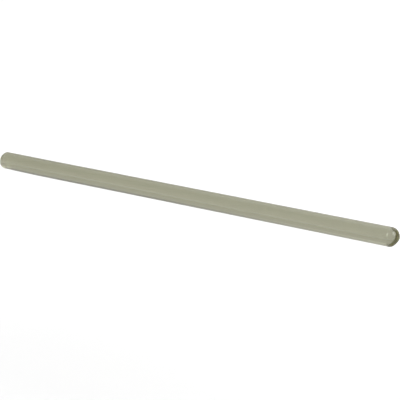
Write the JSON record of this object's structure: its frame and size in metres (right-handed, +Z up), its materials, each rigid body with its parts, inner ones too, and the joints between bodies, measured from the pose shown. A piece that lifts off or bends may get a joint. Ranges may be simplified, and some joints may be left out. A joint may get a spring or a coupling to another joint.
{
  "type": "glass stirring rod",
  "caption": "Straight solid glass stirring rod with flame-rounded ends, for stirring and guiding liquids in small lab vessels.",
  "frame": {"origin": "on the rod's axis, half way along its length", "axes": "+X along the rod, +Z up when it lies on a bench"},
  "size_m": [0.157, 0.006, 0.006],
  "materials": {
    "drawn_glass": "flame-polished, grey-green tint"
  },
  "bodies": {
    "root": {"rod": "drawn_glass"}
  },
  "joints": []
}
